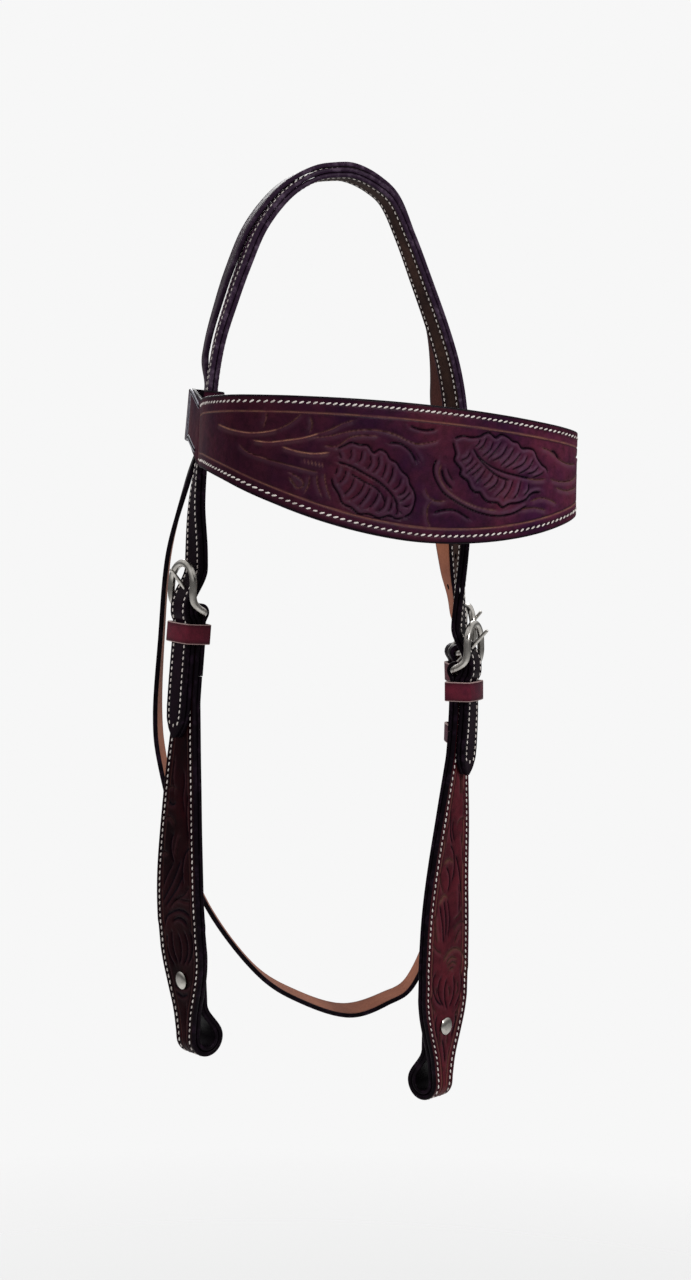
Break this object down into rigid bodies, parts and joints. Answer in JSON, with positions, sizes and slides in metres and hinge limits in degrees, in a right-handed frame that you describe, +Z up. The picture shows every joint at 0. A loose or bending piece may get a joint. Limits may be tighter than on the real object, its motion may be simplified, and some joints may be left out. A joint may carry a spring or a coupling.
{
  "type": "western headstall",
  "caption": "Browband headstall of tooled leather that holds a bit on a horse's head, with buckled cheeks, a buckled throatlatch and folded bit loops.",
  "frame": {"origin": "the underside of the crown's middle, on the flat patch that rests on the horse's poll", "axes": "+Z up, away from the ground; -Y to the forehead, where the browband is; +X to the horse's near (left) side, where the throatlatch buckles"},
  "size_m": [0.204, 0.1912, 0.5196],
  "materials": {
    "strap_leather": "waxed, tooled, with burnished black edges",
    "lining_leather": "smooth lining leather",
    "throat_leather": "waxed outside, tan flesh side inside",
    "keeper_leather": "waxed, with a light raw edge",
    "nickel": "polished nickel plate"
  },
  "bodies": {
    "crown": {"crown_strap": "strap_leather", "crown_lining": "lining_leather", "throatlatch_poll_strap": "strap_leather"},
    "browband": {"browband_face": "strap_leather", "browband_lining": "lining_leather"},
    "off_cheek": {"off_billet": "strap_leather", "off_billet_lining": "lining_leather", "off_cheek_strap": "strap_leather", "off_cheek_lining": "lining_leather", "off_screw_post": "nickel"},
    "near_cheek": {"near_billet": "strap_leather", "near_billet_lining": "lining_leather", "near_cheek_strap": "strap_leather", "near_cheek_lining": "lining_leather", "near_screw_post": "nickel"},
    "throatlatch": {"throatlatch_strap": "throat_leather", "throatlatch_billet": "throat_leather"},
    "off_buckle": {"off_buckle_frame": "nickel"},
    "off_tongue": {"off_buckle_tongue": "nickel"},
    "near_buckle": {"near_buckle_frame": "nickel"},
    "near_tongue": {"near_buckle_tongue": "nickel"},
    "throat_buckle": {"throat_buckle_frame": "nickel"},
    "throat_tongue": {"throat_buckle_tongue": "nickel"},
    "off_cheek_keeper": {"off_cheek_keeper": "keeper_leather"},
    "near_cheek_keeper": {"near_cheek_keeper": "keeper_leather"},
    "throat_upper_keeper": {"throat_upper_keeper": "keeper_leather"},
    "throat_lower_keeper": {"throat_lower_keeper": "keeper_leather"},
    "off_screw": {"off_binding_screw": "nickel"},
    "near_screw": {"near_binding_screw": "nickel"}
  },
  "joints": [
    {"name": "browband_slide", "type": "slide", "parent": "crown", "child": "browband", "axis": [0.0089, -0.0755, 0.9971], "range_m": [-0.002, 0.004]},
    {"name": "off_cheek_swing", "type": "hinge", "parent": "crown", "child": "off_cheek", "pos_m": [-0.07632, 0.00302, -0.15107], "axis": [0.2685, 0.9603, 0.0763], "range_deg": [-11.5, 12]},
    {"name": "near_cheek_swing", "type": "hinge", "parent": "crown", "child": "near_cheek", "pos_m": [0.07502, 0.00259, -0.17008], "axis": [0.2576, -0.9661, 0.0159], "range_deg": [-11.5, 12]},
    {"name": "throatlatch_swing", "type": "hinge", "parent": "crown", "child": "throatlatch", "pos_m": [-0.07286, 0.02016, -0.14956], "axis": [0.9905, 0.0067, -0.1372], "range_deg": [-4, 10]},
    {"name": "off_buckle_turn", "type": "hinge", "parent": "off_cheek", "child": "off_buckle", "pos_m": [-0.0774, 0.009, -0.23783], "axis": [0.2413, -0.9699, -0.0313], "range_deg": [-5, 10]},
    {"name": "off_tongue_turn", "type": "hinge", "parent": "off_cheek", "child": "off_tongue", "pos_m": [-0.0774, 0.009, -0.23783], "axis": [0.2413, -0.9699, -0.0313], "range_deg": [-4, 4]},
    {"name": "near_buckle_turn", "type": "hinge", "parent": "near_cheek", "child": "near_buckle", "pos_m": [0.07452, -0.00562, -0.26982], "axis": [0.7194, 0.6941, -0.025], "range_deg": [-5, 10]},
    {"name": "near_tongue_turn", "type": "hinge", "parent": "near_cheek", "child": "near_tongue", "pos_m": [0.07452, -0.00562, -0.26982], "axis": [0.7194, 0.6941, -0.025], "range_deg": [-4, 4]},
    {"name": "throat_buckle_turn", "type": "hinge", "parent": "throatlatch", "child": "throat_buckle", "pos_m": [0.08748, 0.02731, -0.26242], "axis": [0.2071, 0.9782, 0.0124], "range_deg": [-5, 10]},
    {"name": "throat_tongue_turn", "type": "hinge", "parent": "throatlatch", "child": "throat_tongue", "pos_m": [0.08748, 0.02731, -0.26242], "axis": [0.2071, 0.9782, 0.0124], "range_deg": [-4, 4]},
    {"name": "off_cheek_keeper_slide", "type": "slide", "parent": "off_cheek", "child": "off_cheek_keeper", "axis": [-0.0475, 0.0257, -0.9985], "range_m": [-0.001, 0.01]},
    {"name": "near_cheek_keeper_slide", "type": "slide", "parent": "near_cheek", "child": "near_cheek_keeper", "axis": [0.0182, -0.0122, -0.9998], "range_m": [-0.001, 0.01]},
    {"name": "throat_upper_keeper_slide", "type": "slide", "parent": "throatlatch", "child": "throat_upper_keeper", "axis": [0.0614, 0.0117, -0.998], "range_m": [-0.001, 0.01]},
    {"name": "throat_lower_keeper_slide", "type": "slide", "parent": "throatlatch", "child": "throat_lower_keeper", "axis": [0.0079, 0.0385, -0.9992], "range_m": [-0.008, 0.004]},
    {"name": "off_screw_turn", "type": "hinge", "parent": "off_cheek", "child": "off_screw", "pos_m": [-0.07747, 0.01001, -0.43651], "axis": [-0.9537, -0.2916, -0.0735], "continuous": true},
    {"name": "near_screw_turn", "type": "hinge", "parent": "near_cheek", "child": "near_screw", "pos_m": [0.06805, -0.00598, -0.46864], "axis": [0.4383, -0.8988, -0.0033], "continuous": true}
  ]
}
